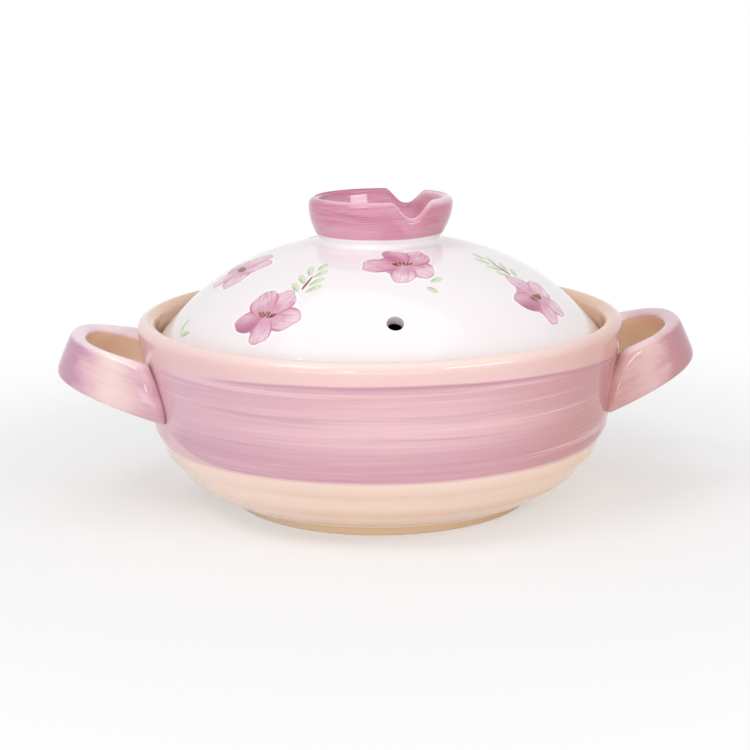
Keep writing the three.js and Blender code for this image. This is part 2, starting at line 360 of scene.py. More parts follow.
# %% Lid outline
LID_STEPS = 256
LID_TOP, LID_WALL = 130.5, 6.5
LID_PLAY, LID_STAND = 1.2, 0.3
LID_EDGE_RADIUS = GALLERY_RADIUS - LID_PLAY
LID_BOTTOM = SEAT_HEIGHT + LID_STAND
LID_EDGE_HEIGHT, LID_OUTER_ROUND, LID_INNER_ROUND = 82.3, 1.8, 0.8
DOME_PULLS = at(52.8, LID_TOP), at(LID_EDGE_RADIUS - 25.9, 115)
DOME_SAMPLES, UNDERSIDE_STRIDE = 96, 3

dome = interpolate_bezier(
    at(0, LID_TOP), *DOME_PULLS, at(LID_EDGE_RADIUS, LID_EDGE_HEIGHT), DOME_SAMPLES
)
DOME_WALK = [0]
for near, far in zip(dome, dome[1:]):
    DOME_WALK.append(DOME_WALK[-1] + (far - near).length)
DOME_RADII = [p.x for p in dome]
under_dome = [p + side_of(dome, i) * LID_WALL * MM for i, p in enumerate(dome)]
under_dome[0].x = 0
outer_edge = at(LID_EDGE_RADIUS - LID_OUTER_ROUND, LID_BOTTOM + LID_OUTER_ROUND)
inner_edge = Vector((
    under_dome[-1].x + LID_INNER_ROUND * MM, 0, (LID_BOTTOM + LID_INNER_ROUND) * MM
))
lid_outside = [*dome, *arc(outer_edge, LID_OUTER_ROUND, 0, -90, 6)]
lid_inside = [
    *arc(inner_edge, LID_INNER_ROUND, 270, 180, 4),
    *reversed(under_dome[::UNDERSIDE_STRIDE]),
]


def dome_at(walk):
    """The dome's point and outward normal at a distance from the top along the slope."""
    i = min(max(bisect.bisect(DOME_WALK, walk), 1), len(dome) - 1)
    share = (walk - DOME_WALK[i - 1]) / (DOME_WALK[i] - DOME_WALK[i - 1])
    return dome[i - 1].lerp(dome[i], share), -side_of(dome, i)


def walk_to(radius):
    """The distance along the slope from the top to a radius in millimetres."""
    i = min(max(bisect.bisect(DOME_RADII, radius * MM), 1), len(dome) - 1)
    share = (radius * MM - DOME_RADII[i - 1]) / (DOME_RADII[i] - DOME_RADII[i - 1])
    return DOME_WALK[i - 1] + (DOME_WALK[i] - DOME_WALK[i - 1]) * share


print("dome slope length:", round(DOME_WALK[-1] / MM, 1), "mm")

# %% Lid with its steam hole
VENT_RADIUS, VENT_DISTANCE, VENT_FLARE = 3.85, 88.1, 0.4
VENT_LEAN = math.radians(10)
DRILL_BELOW, DRILL_ABOVE, DRILL_STEPS = -12, 4, 48


def steam_drill():
    """A drill whose outer end flares; its own axis is Z, with the dome's surface at zero."""
    wide = VENT_RADIUS + VENT_FLARE
    flare = arc(at(wide, -VENT_FLARE), VENT_FLARE, 180, 90, 6)
    outline = [at(0, DRILL_BELOW), at(VENT_RADIUS, DRILL_BELOW), *flare]
    drill = spun([*outline, at(wide, DRILL_ABOVE), at(0, DRILL_ABOVE)], [], DRILL_STEPS)
    place, normal = dome_at(walk_to(VENT_DISTANCE))
    turn = Vector((0, -normal.x, normal.z)).to_track_quat("Z", "X").to_matrix().to_4x4()
    turn = Matrix.Rotation(VENT_LEAN, 4, "X") @ turn
    spot = Matrix.Translation(Vector((0, -place.x, place.z)))
    bmesh.ops.transform(drill, matrix=spot @ turn, verts=drill.verts)
    mesh = bpy.data.meshes.new("steam_drill")
    drill.to_mesh(mesh)
    drill.free()
    return bpy.data.objects.new("steam_drill", mesh)


lid_mesh = spun(lid_outside, lid_inside, LID_STEPS)
lid = add_piece("glazed_lid", lid_mesh, "lid", "lid_glaze", "lid_dome")
drill = steam_drill()
bpy.context.scene.collection.objects.link(drill)
cut = lid.modifiers.new("steam_hole", "BOOLEAN")
cut.object = drill
cut.solver = "EXACT"
evaluated = lid.evaluated_get(bpy.context.evaluated_depsgraph_get())
drilled = bpy.data.meshes.new_from_object(evaluated)
lid.modifiers.clear()
lid.data = drilled
drilled.set_sharp_from_angle(angle=SHARP_ANGLE)
bpy.data.objects.remove(drill)
print("lid after drilling:", len(drilled.vertices), "vertices")

# %% [markdown]
# The knob
#
# The knob is an open ring that flares from a white neck. A U-shaped dip runs across its rim, off
# to one side. Cutting the dip would leave hard edges, but the real rim was pressed down while the
# clay was soft, so here the turned ring's rim is lowered along the dip's line and keeps its round
# lip all the way. The ring also leans a millimetre and its rim falls a little to the back, as on
# a hand-set knob.

# %% Knob outline
KNOB_STEPS = 256
KNOB_TOP, KNOB_RADIUS, KNOB_WALL = 150.6, 35.4, 5.2
KNOB_OUTER_ROUND, KNOB_INNER_ROUND, KNOB_TOP_FALL = 3.5, 1.6, 0.5
KNOB_BASE_RADIUS, KNOB_FLARE, KNOB_FOOT_WALL = 29.7, 2.6, 5.4
NECK_LIFT, NECK_EASE, CUP_SINK, KNOB_SINK = 0.05, 0.2, 0.2, 0.6
NECK_PULLS = at(1.7, -0.3), at(0.1, 1.4)
RING_PULLS = at(33, 134.5), at(35.6, 141.5)
CUP_PULLS = at(2.2, 6), at(1.0, 6)


def dome_point(radius):
    """A point of the dome's outline at a radius in millimetres."""
    return dome_at(walk_to(radius))[0]


neck_foot = dome_point(KNOB_BASE_RADIUS + KNOB_FLARE) + at(0, NECK_LIFT)
neck = at(KNOB_BASE_RADIUS + NECK_EASE, neck_foot.z / MM + KNOB_FLARE)
outer_lip = at(KNOB_RADIUS - KNOB_OUTER_ROUND, KNOB_TOP - KNOB_OUTER_ROUND)
inner_lip = at(
    KNOB_RADIUS - KNOB_WALL + KNOB_INNER_ROUND, KNOB_TOP - KNOB_TOP_FALL - KNOB_INNER_ROUND
)
inner_wall = inner_lip - at(KNOB_INNER_ROUND, 0)
knob_floor = dome_point(KNOB_BASE_RADIUS - KNOB_FOOT_WALL)
knob_outside = [
    dome_point(KNOB_BASE_RADIUS) - at(0, KNOB_SINK),
    *interpolate_bezier(neck_foot, neck_foot - NECK_PULLS[0], neck - NECK_PULLS[1], neck, 12),
    *interpolate_bezier(neck, *RING_PULLS, outer_lip + at(KNOB_OUTER_ROUND, 0), 24)[1:],
    *arc(outer_lip, KNOB_OUTER_ROUND, 8, 64, 7),
]
knob_inside = [
    *arc(outer_lip, KNOB_OUTER_ROUND, 74, 84, 2),
    *arc(inner_lip, KNOB_INNER_ROUND, 78, 180, 10),
    *interpolate_bezier(
        inner_wall, inner_wall - CUP_PULLS[0], knob_floor + CUP_PULLS[1],
        knob_floor - at(0, CUP_SINK), 20,
    )[1:],
    knob_floor - at(0, KNOB_SINK),
    knob_outside[0],
]
print("knob neck at", round(neck.z / MM, 1), "mm, lip at", KNOB_TOP, "mm")

# %% Knob with its dip
DIP_DEPTH, DIP_HALF_WIDTH, DIP_OFFSET, DIP_TURN = 7.6, 10.6, 13.6, math.radians(-2.2)
DIP_STEEPNESS, DIP_EASE = 1.14, 0.05
DIP_STARTS, DIP_FULL = 0.15, 0.75
KNOB_LEAN = 0.05
RIM_FALL = 0.016
LIP_MARK = 4.2


def smooth_share(value, low, high):
    """Rises smoothly from 0 at low to 1 at high."""
    t = min(max((value - low) / (high - low), 0), 1)
    return t * t * (3 - 2 * t)


def press_dip(bm):
    """Lowers the ring's rim along the dip's line, lets the ring lean and marks its lip."""
    base = neck_foot.z
    lip_layer = bm.verts.layers.float.new("lip")
    for vert in bm.verts:
        vert[lip_layer] = smooth_share(KNOB_TOP - vert.co.z / MM, LIP_MARK, 0)
        across = vert.co.x * math.cos(DIP_TURN) + vert.co.y * math.sin(DIP_TURN) - DIP_OFFSET * MM
        near = min(abs(across) / (DIP_HALF_WIDTH * MM), 1) ** DIP_STEEPNESS
        dip = DIP_DEPTH * MM * (1 + math.cos(math.pi * near)) / 2
        dip *= 1 - DIP_EASE * vert.co.y / (KNOB_RADIUS * MM)
        rise = (vert.co.z - base) / (KNOB_TOP * MM - base)
        vert.co.x += KNOB_LEAN * max(vert.co.z - base, 0)
        vert.co.z -= dip * smooth_share(rise, DIP_STARTS, DIP_FULL)
        vert.co.z -= RIM_FALL * vert.co.y * max(rise, 0)


knob_mesh = spun(knob_outside, knob_inside, KNOB_STEPS)
press_dip(knob_mesh)
knob = add_piece("glazed_knob", knob_mesh, "lid", "knob_glaze", "lid_knob")

# %% [markdown]
# The painted blossoms
#
# Scattered five-petalled blossoms and leaf sprigs are a traditional pattern on such lids. Here
# they are laid on as the painter lays them: stroke by stroke. Each petal, leaf and stamen is its
# own small patch, a grid pressed into a rounded outline and set on the dome by distance along the
# slope and angle round it, a fraction of a millimetre proud. A patch keeps crisp edges at any
# distance, and its UV map gives the brush streaks a direction.

# %% Patch helpers
PATCH_GRID = 14
PATCH_DEPTH = 0.35
EDGE_MARGIN = 0.4 * MM
random.seed(7)


def on_dome(spot, side, upward, lift):
    """The dome point some millimetres sideways and up the slope from a spot, raised by lift."""
    radius, azimuth = spot
    walk = min(max(walk_to(radius) - upward * MM, EDGE_MARGIN), DOME_WALK[-1] - EDGE_MARGIN)
    place, normal = dome_at(walk)
    place = place + normal * lift * MM
    turn = math.radians(azimuth) + side * MM / place.x
    return Vector((place.x * math.cos(turn), place.x * math.sin(turn), place.z))


def add_patch(bm, outline, spot, lift, tone):
    """Presses a grid into a disc, the disc into an outline, and lays it on the dome. The UV map
    is the grid's own."""
    tone_layer = bm.verts.layers.float["tone"]
    made = bmesh.ops.create_grid(
        bm, x_segments=PATCH_GRID, y_segments=PATCH_GRID, size=1, calc_uvs=True
    )["verts"]
    for vert in made:
        x, y = vert.co.xy
        disc_x = x * math.sqrt(1 - y * y / 2)
        disc_y = y * math.sqrt(1 - x * x / 2)
        vert.co = on_dome(spot, *outline(disc_x, disc_y), lift)
        vert[tone_layer] = tone


def new_patches():
    """An empty bmesh with the layers that every patch needs."""
    bm = bmesh.new()
    bm.loops.layers.uv.new("UVMap")
    bm.verts.layers.float.new("tone")
    return bm


def finish_patches(name, bm):
    """Gives the patches a thin body sunk into the dome and makes them a piece of the lid."""
    bmesh.ops.recalc_face_normals(bm, faces=bm.faces)
    if sum(f.normal.z for f in bm.faces) < 0:
        bmesh.ops.reverse_faces(bm, faces=bm.faces)
    bmesh.ops.solidify(bm, geom=bm.faces[:], thickness=PATCH_DEPTH * MM)
    return add_piece(name, bm, "lid", "lid_glaze")


# %% Blossom shapes
PETAL_INSET, PETAL_BEND = 0.3, 0.7
PETAL_RIPPLE, LONG_RIPPLE, SHORT_RIPPLE = 0.32, 3.2, 7
OUTLINE_EXTRA = 1.2
OUTLINE_LIFT, OUTLINE_LAYER = 0.06, 0.004
PETAL_LIFT, PETAL_LAYER, STAMEN_LIFT = 0.12, 0.03, 0.36
PETAL_FOOT = 0.72
HEART_RADIUS = 11.4


def petal_outline(angle, length, half_width, extra, wave):
    """A petal that points at an angle from the blossom's centre; extra widens it all round.
    Its foot widens evenly and its tip is a round of the petal's own half width."""
    cosine, sine = math.cos(angle), math.sin(angle)
    half_length, wide = length / 2 + extra, half_width + extra
    tip_from = 1 - wide / half_length
    widest = 1 / math.sqrt(1 - tip_from ** 2)

    def place(x, y):
        if y > tip_from:
            tip = (y - tip_from) / (1 - tip_from)
            width = wide * math.sqrt((1 + tip) / ((1 - tip_from) * (1 + y)))
        else:
            width = wide * (PETAL_FOOT + (widest - PETAL_FOOT) * (y + 1) / (tip_from + 1))
        ripples = math.sin(LONG_RIPPLE * x + wave) + math.sin(SHORT_RIPPLE * x + 2 * wave) / 2
        along = PETAL_INSET + length / 2 + half_length * y + PETAL_RIPPLE * ripples * (y + 1)
        across = width * x + PETAL_BEND * math.cos(wave) * (y * y - 1 + y)
        return along * cosine - across * sine, along * sine + across * cosine

    return place


def heart_outline(radius):
    """The round wash under the petals, which closes the gaps between them near the centre."""
    def place(x, y):
        return radius * x, radius * y

    return place


def stroke_outline(start, end, half_width, bulge):
    """A brush stroke from one point to another, wider to its end where bulge is above zero."""
    start, end = Vector(start), Vector(end)
    along, middle = (end - start) / 2, (start + end) / 2
    across = Vector((-along.y, along.x)).normalized()

    def place(x, y):
        point = middle + along * y + across * x * half_width * (1 + bulge * y)
        return point.x, point.y

    return place


# %% Lay the blossoms
# Petals: direction in degrees, length, half width, and how much pigment the brush held.
WIDE_BLOSSOM = [
    (212, 16.4, 6.4, 0.75), (-2, 17.4, 7.4, 0.05), (-78, 16.6, 5.3, 0.0), (72, 17.2, 6.8, 0.12),
    (128, 16.8, 7.7, 0.3),
]
LONG_BLOSSOM = [
    (182, 19.2, 6.7, 0.25), (-40, 17.0, 6.9, 0.0), (-102, 16.4, 6.1, 0.05), (40, 17.4, 7.7, 0.3),
    (97, 16.8, 6.1, 0.7),
]
SLIM_BLOSSOM = [
    (90, 17.6, 5.9, 0.22), (22, 17.0, 6.8, 0.08), (-47, 16.6, 5.5, 0.0), (-105, 16.2, 5.1, 0.12),
    (178, 15.8, 6.7, 1.0),
]
# Blossoms: distance from the axis, angle round the lid in degrees, form, and turn in degrees.
BLOSSOMS = [
    (87.5, -130.9, WIDE_BLOSSOM, 0), (50.3, -82.1, LONG_BLOSSOM, 0),
    (85.6, -34.3, SLIM_BLOSSOM, 0), (69.2, -171.0, WIDE_BLOSSOM, -30),
    (88.0, 141.0, SLIM_BLOSSOM, 40), (52.0, 114.0, LONG_BLOSSOM, -70),
    (90.0, 88.0, WIDE_BLOSSOM, 60), (58.0, 58.0, SLIM_BLOSSOM, 20),
    (86.0, 34.0, WIDE_BLOSSOM, 150),
]
# Stamens: foot and tip of each stroke, in two bunches.
STAMENS = [
    ((-3.2, -0.8), (-4.9, 1.8)), ((-2.3, -1.6), (-2.8, 2.4)), ((-1.3, -1.3), (-0.5, 2.8)),
    ((1.2, -1.5), (0.9, 2.6)), ((2.1, -1.3), (2.9, 2.2)), ((3.0, -0.8), (4.9, 1.6)),
]
STAMEN_HALF_WIDTH, STAMEN_SWELL, STAMEN_STRAY = 0.5, 0.25, 0.4
outlines, hearts, petals, stamens = [new_patches() for _ in range(4)]
for radius, azimuth, form, turn in BLOSSOMS:
    spot = (radius, azimuth)
    add_patch(outlines, heart_outline(HEART_RADIUS + OUTLINE_EXTRA), spot, OUTLINE_LIFT, 0)
    add_patch(hearts, heart_outline(HEART_RADIUS), spot, PETAL_LIFT, 0)
    for k, (direction, length, half_width, pigment) in enumerate(form, 1):
        angle, wave = math.radians(direction + turn), random.uniform(0, math.tau)
        edge = petal_outline(angle, length, half_width, OUTLINE_EXTRA, wave)
        add_patch(outlines, edge, spot, OUTLINE_LIFT + OUTLINE_LAYER * k, 0)
        shape = petal_outline(angle, length, half_width, 0, wave)
        add_patch(petals, shape, spot, PETAL_LIFT + PETAL_LAYER * k, pigment)
    for foot, tip in STAMENS:
        tip = [c + random.uniform(-STAMEN_STRAY, STAMEN_STRAY) for c in tip]
        shape = stroke_outline(foot, tip, STAMEN_HALF_WIDTH, STAMEN_SWELL)
        add_patch(stamens, shape, spot, STAMEN_LIFT, 0)
blossom_outlines = finish_patches("blossom_outlines", outlines)
blossom_hearts = finish_patches("blossom_hearts", hearts)
blossom_petals = finish_patches("blossom_petals", petals)
blossom_stamens = finish_patches("blossom_stamens", stamens)

# %% Lay the sprigs
# Leaves: foot and tip in millimetres sideways and up the slope from the sprig's root.
SPRIG_LEAVES = [
    ((-1.3, -1.6), (-7.0, 4.0)), ((-1.0, 4.5), (-7.0, 10.6)), ((-1.7, 11.0), (-5.5, 18.6)),
    ((2.9, -2.1), (8.0, 4.3)), ((2.2, 2.7), (6.1, 10.6)), ((1.1, 9.8), (4.3, 17.2)),
    ((0.3, 15.8), (0.6, 23.2)),
]
# Sprigs: distance from the axis, angle round the lid and lean. Loose leaves have foot and tip.
SPRIGS = [(71.7, -124.5, 0), (70.3, -32.0, 7), (88.0, 113.0, -8), (66.0, 86.0, 6)]
LOOSE_LEAVES = [
    (51.7, -82.7, (10.4, -15.6), (16.6, -13.0)), (51.7, -82.7, (7.6, -19.2), (12.0, -23.4)),
    (100.5, -161.0, (-3.6, -2.6), (-6.2, 4.8)), (100.5, -161.0, (5.6, -0.6), (-1.6, -3.8)),
    (98.0, 54.0, (0, 0), (4.5, 5.0)), (95.0, 57.0, (0, 0), (-2.5, 6.2)),
    (101.0, 105.0, (0, 0), (4.0, 5.6)), (98.0, 108.0, (0, 0), (-3.0, 6.0)),
]
LEAF_HALF_WIDTH, LEAF_SWELL = 1.6, 0.28
STEM_LENGTH, STEM_HALF_WIDTH, STEM_TAPER = 11, 0.55, -0.4
leaves, stems = new_patches(), new_patches()


def add_leaf(spot, foot, tip):
    """A leaf stroke, pointed at its foot and fuller at its tip."""
    shape = stroke_outline(foot, tip, LEAF_HALF_WIDTH, LEAF_SWELL)
    add_patch(leaves, shape, spot, PETAL_LIFT, random.uniform(0, 1))


for radius, azimuth, lean in SPRIGS:
    spot, lean = (radius, azimuth), Matrix.Rotation(math.radians(-lean), 2)
    top = lean @ Vector((0, STEM_LENGTH))
    stem = stroke_outline((0, 0), top, STEM_HALF_WIDTH, STEM_TAPER)
    add_patch(stems, stem, spot, PETAL_LIFT, 0)
    for foot, tip in SPRIG_LEAVES:
        add_leaf(spot, lean @ Vector(foot), lean @ Vector(tip))
for radius, azimuth, foot, tip in LOOSE_LEAVES:
    add_leaf((radius, azimuth), foot, tip)
sprig_leaves = finish_patches("sprig_leaves", leaves)
sprig_stems = finish_patches("sprig_stems", stems)

# %% [markdown]
# Glaze
#
# Glaze is coloured glass melted over clay: a clear, sharp shine over brushed colour. A few helpers
# keep the node trees readable. Colours are written as 8-bit sRGB and made linear. Brush streaks
# are noise stretched along the turn: the direction from the axis has no seam, so noise read from
# it runs round the pot without a join.

# %% Node helpers
MIX_FACTOR, MIX_FIRST, MIX_SECOND, MIX_RESULT = 0, 6, 7, 2


def paint(red, green, blue):
    """The linear colour of an 8-bit sRGB colour."""
    def linear(channel):
        c = channel / 255
        return c / 12.92 if c <= 0.04045 else ((c + 0.055) / 1.055) ** 2.4
    return (linear(red), linear(green), linear(blue), 1)


class Glaze:
    """A material with short words for its nodes."""

    def __init__(self, name):
        self.material = bpy.data.materials.new(name)
        self.material.use_nodes = True
        self.tree = self.material.node_tree
        self.shader = self.tree.nodes["Principled BSDF"]

    def node(self, kind, inputs=(), **settings):
        """A new node with its settings and with values or links on its inputs."""
        made = self.tree.nodes.new("ShaderNode" + kind)
        for key, value in settings.items():
            setattr(made, key, value)
        for key, value in dict(inputs).items():
            self.feed(made.inputs[key], value)
        return made

    def feed(self, socket, value):
        """Links a socket to another or gives it a constant."""
        if isinstance(value, bpy.types.NodeSocket):
            self.tree.links.new(value, socket)
        else:
            socket.default_value = value

    def math(self, operation, *values):
        return self.node("Math", enumerate(values), operation=operation).outputs[0]

    def scaled(self, value, factor, offset=0):
        """A value times a factor, plus an offset."""
        return self.math("MULTIPLY_ADD", value, factor, offset)

    def product(self, first, *others):
        for other in others:
            first = self.math("MULTIPLY", first, other)
        return first

    def blend(self, first, share, second):
        """A share of the first value and the rest of the second."""
        return self.math("ADD", self.scaled(first, share), self.scaled(second, 1 - share))

    def mix(self, factor, first, second):
        inputs = {MIX_FACTOR: factor, MIX_FIRST: first, MIX_SECOND: second}
        return self.node("Mix", inputs, data_type="RGBA").outputs[MIX_RESULT]

    def tint(self, base, factor, strength, colour):
        """A colour laid over a base where a factor is high, at most at the given strength."""
        return self.mix(self.scaled(factor, strength), base, colour)

    def fade(self, value, low, high):
        """0 at low, 1 at high, smooth between."""
        inputs = {"Value": value, "From Min": low, "From Max": high}
        return self.node("MapRange", inputs, interpolation_type="SMOOTHSTEP").outputs[0]

    def noise(self, vector, scale, detail=3, roughness=0.55):
        inputs = {"Vector": vector, "Scale": scale, "Detail": detail, "Roughness": roughness}
        return self.node("TexNoise", inputs).outputs[0]

    def ramp(self, factor, stops):
        """Colours at places from 0 to 1, blended between."""
        made = self.node("ValToRGB", {"Fac": factor})
        knots = made.color_ramp.elements
        while len(knots) < len(stops):
            knots.new(0.5)
        for knot, (place, colour) in zip(knots, stops):
            knot.position = place
            knot.color = colour
        return made.outputs[0]

    def attribute(self, name):
        return self.node("Attribute", attribute_name=name).outputs["Fac"]

    def vector(self, *parts):
        return self.node("CombineXYZ", enumerate(parts)).outputs[0]

    def parts(self, vector):
        return self.node("SeparateXYZ", {0: vector}).outputs

    def place(self):
        return self.node("TexCoord").outputs["Object"]

    def height(self):
        """Height in millimetres."""
        return self.scaled(self.parts(self.place())[2], 1000)

    def turned(self, spread, fineness):
        """A vector for streaks round the axis: spread is round it, fineness is per metre up."""
        x, y, z = self.parts(self.place())
        unit = self.node("VectorMath", {0: self.vector(x, y)}, operation="NORMALIZE").outputs[0]
        wide = self.node("VectorMath", {0: unit, "Scale": spread}, operation="SCALE").outputs[0]
        tall = self.vector(0.0, 0.0, self.scaled(z, fineness))
        return self.node("VectorMath", {0: wide, 1: tall}, operation="ADD").outputs[0]

    def bump(self, height, depth):
        """Waves in the glaze's surface, with their depth in millimetres."""
        inputs = {"Height": height, "Strength": 1, "Distance": depth * MM}
        self.feed(self.shader.inputs["Normal"], self.node("Bump", inputs).outputs[0])

    def finish(self, piece, colour, roughness):
        """Feeds the shader and gives the piece this material alone."""
        self.feed(self.shader.inputs["Base Color"], colour)
        self.feed(self.shader.inputs["Roughness"], roughness)
        piece.data.materials.clear()
        piece.data.materials.append(self.material)
        print(self.material.name, "on", piece.name, "with", len(self.tree.nodes), "nodes")


# %% [markdown]
# The bowl's glaze
#
# From the foot up: bare toasted clay, painted paler than the clay to offset the shade under the
# belly, a cream glaze with darker lines painted between the turning ridges as their shade, a pale
# pink ground and a cream lip. On the right the pink is painted darker and warmer as shade and the
# cream warmer as warm light, and the lower left is painted paler as light. Over the pink, front and
# back, the painter laid one broad panel of mauve while the wheel turned. Its streaks are long and
# level, pigment gathers at its edges, one lower corner is rounded where the brush set down, and it
# stops short of the handles. Its right side is painted darker and rosier as shade. Its angle is
# measured from the front or the back, whichever is nearer.

# %% Bowl ground
PAINT_HEIGHT = 100
RIGHT_SIDE, LEFT_SIDE = (15, 75), (-15, -60)
PINK_ABOVE, CREAM_BELOW = (33, 37), (36, 32)
LIP_FROM, LIP_CLEARS = (86, 93), 0.42
RIGHT_SHADE_PINK, COOL_PINK = paint(216, 155, 142), paint(226, 178, 192)
RIGHT_WARM_LIGHT_CREAM, LEFT_LIGHT_CREAM = paint(255, 220, 184), paint(255, 232, 218)


def bowl_ground(glaze, height, angle):
    """The colours that go all the way round, by height; the right is painted darker and warmer as
    shade and warm light, the lower left paler as light.
    """
    drift = glaze.noise(glaze.turned(0.8, 30), 1, 3)
    wavering = glaze.math("ADD", height, glaze.scaled(drift, 2, -1))
    # The darker stops at 9, 17 and 28.5 mm are painted shade between the turning ridges.
    ground = glaze.ramp(glaze.math("DIVIDE", wavering, PAINT_HEIGHT), [
        # The foot's first two stops are painted paler than the clay to offset the shade under the
        # belly.
        (0.030, paint(255, 226, 191)), (0.078, paint(255, 224, 191)), (0.090, paint(232, 190, 160)),
        (0.102, paint(243, 212, 190)), (0.135, paint(247, 219, 199)), (0.170, paint(235, 203, 181)),
        (0.215, paint(248, 222, 205)), (0.250, paint(248, 223, 207)), (0.285, paint(238, 208, 189)),
        (0.343, paint(250, 226, 212)), (0.356, paint(238, 200, 199)), (0.600, paint(242, 204, 203)),
        (0.830, paint(243, 205, 203)), (0.885, paint(245, 209, 204)), (0.910, paint(249, 221, 212)),
        (0.925, paint(251, 227, 218)),
    ])
    right, left = glaze.fade(angle, *RIGHT_SIDE), glaze.fade(angle, *LEFT_SIDE)
    below_lip = glaze.scaled(glaze.fade(height, *LIP_FROM), -LIP_CLEARS, 1)
    upper = glaze.product(glaze.fade(height, *PINK_ABOVE), below_lip)
    lower = glaze.fade(height, *CREAM_BELOW)
    # Painted shade on the right's pink, painted warm light on its cream, painted light on the lower
    # left; the upper left is tinted lilac.
    ground = glaze.tint(ground, glaze.product(right, upper), 0.92, RIGHT_SHADE_PINK)
    ground = glaze.tint(ground, glaze.product(right, lower), 0.85, RIGHT_WARM_LIGHT_CREAM)
    ground = glaze.tint(ground, glaze.product(left, lower), 0.6, LEFT_LIGHT_CREAM)
    return glaze.tint(ground, glaze.product(left, upper), 0.4, COOL_PINK)


# %% Mauve panel
PANEL_TOP, PANEL_DROOP = 82.5, 0.001
PANEL_LOW, CORNER_FROM, CORNER_REACH, CORNER_RISE = 36.1, -42, 25, 10.5
PANEL_LEFT, PANEL_RIGHT, PANEL_RIGHT_POOL = (-69, -58), (64.6, 63.4), (61.6, 63)
PANEL_COVER = 0.95
LILAC_SIDE, PANEL_SHADE_ROSE = paint(213, 166, 191), paint(202, 137, 135)
PALE_STREAK, DARK_STREAK = paint(247, 211, 214), paint(203, 148, 165)
POOLED_MAUVE = paint(194, 135, 156)


def mauve_panel(glaze, height, angle, ground):
    """The panel over the ground: its edges first, then its wash, streaks and pooled pigment."""
    drift = glaze.scaled(glaze.noise(glaze.turned(1.4, 40), 1, 3), 1.6, -0.8)
    ragged = glaze.math("ADD", angle, glaze.scaled(glaze.noise(glaze.turned(3, 90), 1, 4), 14, -7))
    droop = glaze.scaled(glaze.product(angle, angle), PANEL_DROOP)
    level = glaze.math("ADD", height, drift)
    from_top = glaze.math("SUBTRACT", glaze.math("SUBTRACT", PANEL_TOP, droop), level)
    past_corner = glaze.scaled(angle, -1 / CORNER_REACH, CORNER_FROM / CORNER_REACH)
    corner = glaze.math("MAXIMUM", past_corner, 0)
    rise = glaze.scaled(glaze.product(corner, corner), CORNER_RISE, PANEL_LOW)
    from_low = glaze.math("SUBTRACT", level, rise)
    cover = glaze.product(
        glaze.fade(from_top, -0.5, 0.7), glaze.fade(from_low, -0.6, 1.0),
        glaze.fade(ragged, *PANEL_LEFT), glaze.fade(angle, *PANEL_RIGHT),
    )
    wash = glaze.ramp(glaze.math("DIVIDE", height, PAINT_HEIGHT), [
        (0.36, paint(218, 166, 179)), (0.43, paint(213, 161, 175)), (0.50, paint(223, 175, 186)),
        (0.58, paint(237, 194, 201)), (0.66, paint(239, 197, 202)), (0.72, paint(230, 184, 192)),
        (0.78, paint(224, 176, 187)), (0.82, paint(216, 165, 180)),
    ])
    wash = glaze.tint(wash, glaze.fade(angle, 0, -60), 0.5, LILAC_SIDE)
    # Painted shade: the right side of the wash is darker and rosier.
    wash = glaze.tint(wash, glaze.fade(angle, 5, 60), 0.9, PANEL_SHADE_ROSE)
    long_streak = glaze.noise(glaze.turned(0.55, 200), 1, 3)
    fine_streak = glaze.noise(glaze.turned(1.6, 900), 1, 2)
    streak = glaze.blend(long_streak, 0.58, fine_streak)
    wash = glaze.tint(wash, glaze.fade(streak, 0.5, 0.68), 0.65, PALE_STREAK)
    wash = glaze.tint(wash, glaze.fade(streak, 0.5, 0.32), 0.6, DARK_STREAK)
    upper = glaze.product(glaze.fade(from_top, 3, 0.6), glaze.fade(angle, -52, -20))
    pooled = glaze.math("MAXIMUM", upper, glaze.scaled(glaze.fade(from_low, 1.4, 0.3), 0.6))
    pooled = glaze.math("MAXIMUM", pooled, glaze.fade(angle, *PANEL_RIGHT_POOL))
    wash = glaze.tint(wash, pooled, 0.6, POOLED_MAUVE)
    return glaze.mix(glaze.scaled(cover, PANEL_COVER), ground, wash)


# %% Bowl glaze
BARE_FOOT = (4.6, 3.2)
INSIDE_TAN, INSIDE_CREAM = paint(224, 184, 156), paint(236, 201, 174)


def bowl_glaze(piece):
    """Panel and ground outside, plain cream inside, and a dull, grainy foot."""
    glaze = Glaze("bowl_glaze")
    height = glaze.height()
    x, y, _ = glaze.parts(glaze.place())
    angle = glaze.math("DEGREES", glaze.math("ARCTAN2", x, glaze.math("ABSOLUTE", y)))
    outside = mauve_panel(glaze, height, angle, bowl_ground(glaze, height, angle))
    cloud = glaze.noise(glaze.place(), 60, 4)
    cream = glaze.mix(cloud, INSIDE_TAN, INSIDE_CREAM)
    colour = glaze.mix(glaze.attribute("inside"), outside, cream)
    bare = glaze.fade(height, *BARE_FOOT)
    grain = glaze.noise(glaze.place(), 2600, 2)
    relief = glaze.blend(glaze.noise(glaze.place(), 45, 2), 0.5, glaze.product(grain, bare))
    glaze.bump(relief, 0.16)
    glaze.finish(piece, colour, glaze.scaled(bare, 0.5, 0.1))


bowl_glaze(bowl)

# %% [markdown]
# The handles' glaze
#
# The brush went along the outside of the strap and over its edges and left the inside bare of
# colour. Mauve is strongest round the outer bend and by the seam and breaks to cream between them.
# The edges stay pale, and a dark line of glaze pools where the strap meets the wall. On the right
# handle a warm tint off the bend is painted shade, which also dims its pale edge.

# %% Handle glaze
BROKEN_CREAM, THIN_PINK, FULL_PINK = [
    paint(245, 217, 211), paint(239, 206, 205), paint(228, 186, 195)
]
SHADE_WARM_WASH, PALE_EDGE = paint(223, 180, 167), paint(250, 231, 235)
BARE_TAN, BARE_CREAM = paint(231, 194, 158), paint(244, 213, 180)
SEAM_MAUVE, SEAM_REACH = paint(160, 102, 147), (2.0, 0.5)


